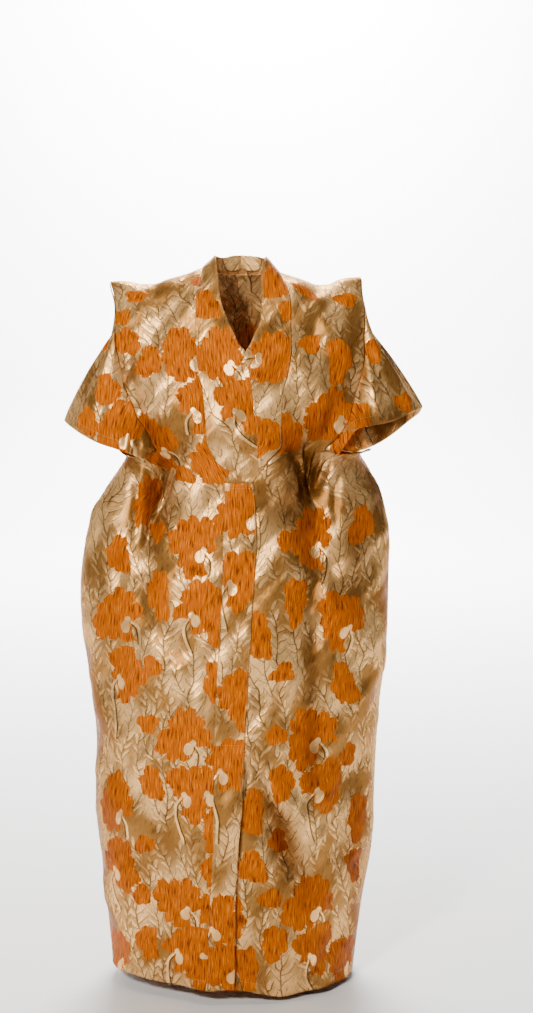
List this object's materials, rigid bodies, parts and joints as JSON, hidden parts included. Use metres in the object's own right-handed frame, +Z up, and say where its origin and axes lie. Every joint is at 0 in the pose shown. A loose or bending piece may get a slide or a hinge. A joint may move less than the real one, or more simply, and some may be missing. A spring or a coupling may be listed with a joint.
{
  "type": "boubou robe",
  "caption": "Long boubou robe held in its worn form, with a deep V neck, pointed shoulders, short flared sleeves, a gathered waist and a front slit.",
  "frame": {"origin": "middle of the shoulder line, where the wearer's shoulders hold the robe", "axes": "+X to the wearer's left, -Y to the front, +Z up"},
  "size_m": [0.7171, 0.3559, 1.4512],
  "materials": {
    "brocade": "satin brocade, champagne with orange blossoms"
  },
  "bodies": {
    "root": {"front_right": "brocade", "front_left": "brocade", "back": "brocade", "sleeve_right": "brocade", "sleeve_left": "brocade", "neck_band_right": "brocade", "neck_band_left": "brocade", "front_placket": "brocade"}
  },
  "joints": []
}
